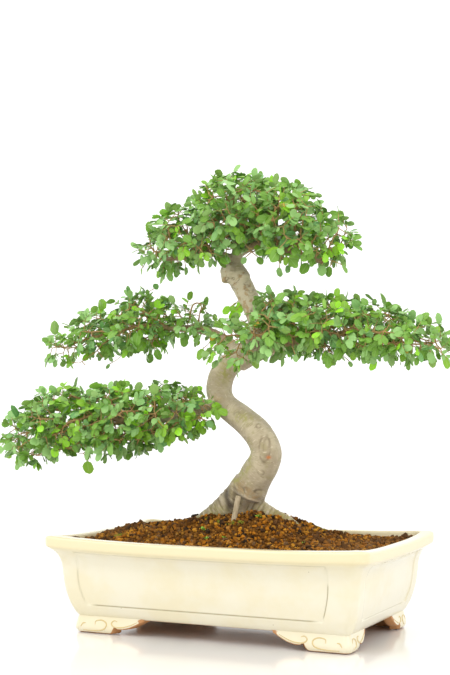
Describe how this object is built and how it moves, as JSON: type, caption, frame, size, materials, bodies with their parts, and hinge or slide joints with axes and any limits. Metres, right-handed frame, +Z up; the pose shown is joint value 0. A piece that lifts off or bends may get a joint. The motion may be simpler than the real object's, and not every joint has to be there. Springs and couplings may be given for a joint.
{
  "type": "chinese elm bonsai in a pot",
  "caption": "Chinese elm bonsai: an S-shaped trunk with surface roots and leafy pads, growing in mounded soil in a rectangular glazed pot with feet.",
  "frame": {"origin": "middle of the bonsai's footprint, leaves included, on the surface that the pot stands on", "axes": "+Z up along the trunk, +X along the long side of the pot towards the right-hand pad, -Y is the front"},
  "size_m": [0.4514, 0.1972, 0.4078],
  "materials": {
    "glaze": "glossy cream glaze, unglazed orange clay under the feet",
    "soil": "moist clay granules",
    "bark": "smooth beige-grey bark with fine cross marks",
    "peg": "bare sawn wood",
    "drain_mesh": "black plastic mesh",
    "leaves": "satin green leaves on thin brown twigs"
  },
  "bodies": {
    "root": {"pot": "glaze", "soil": "soil", "trunk": "bark", "peg": "peg", "drain_mesh_left": "drain_mesh", "drain_mesh_right": "drain_mesh", "low_left_foliage": "leaves", "mid_left_foliage": "leaves", "right_foliage": "leaves", "crown_foliage": "leaves"}
  },
  "joints": []
}
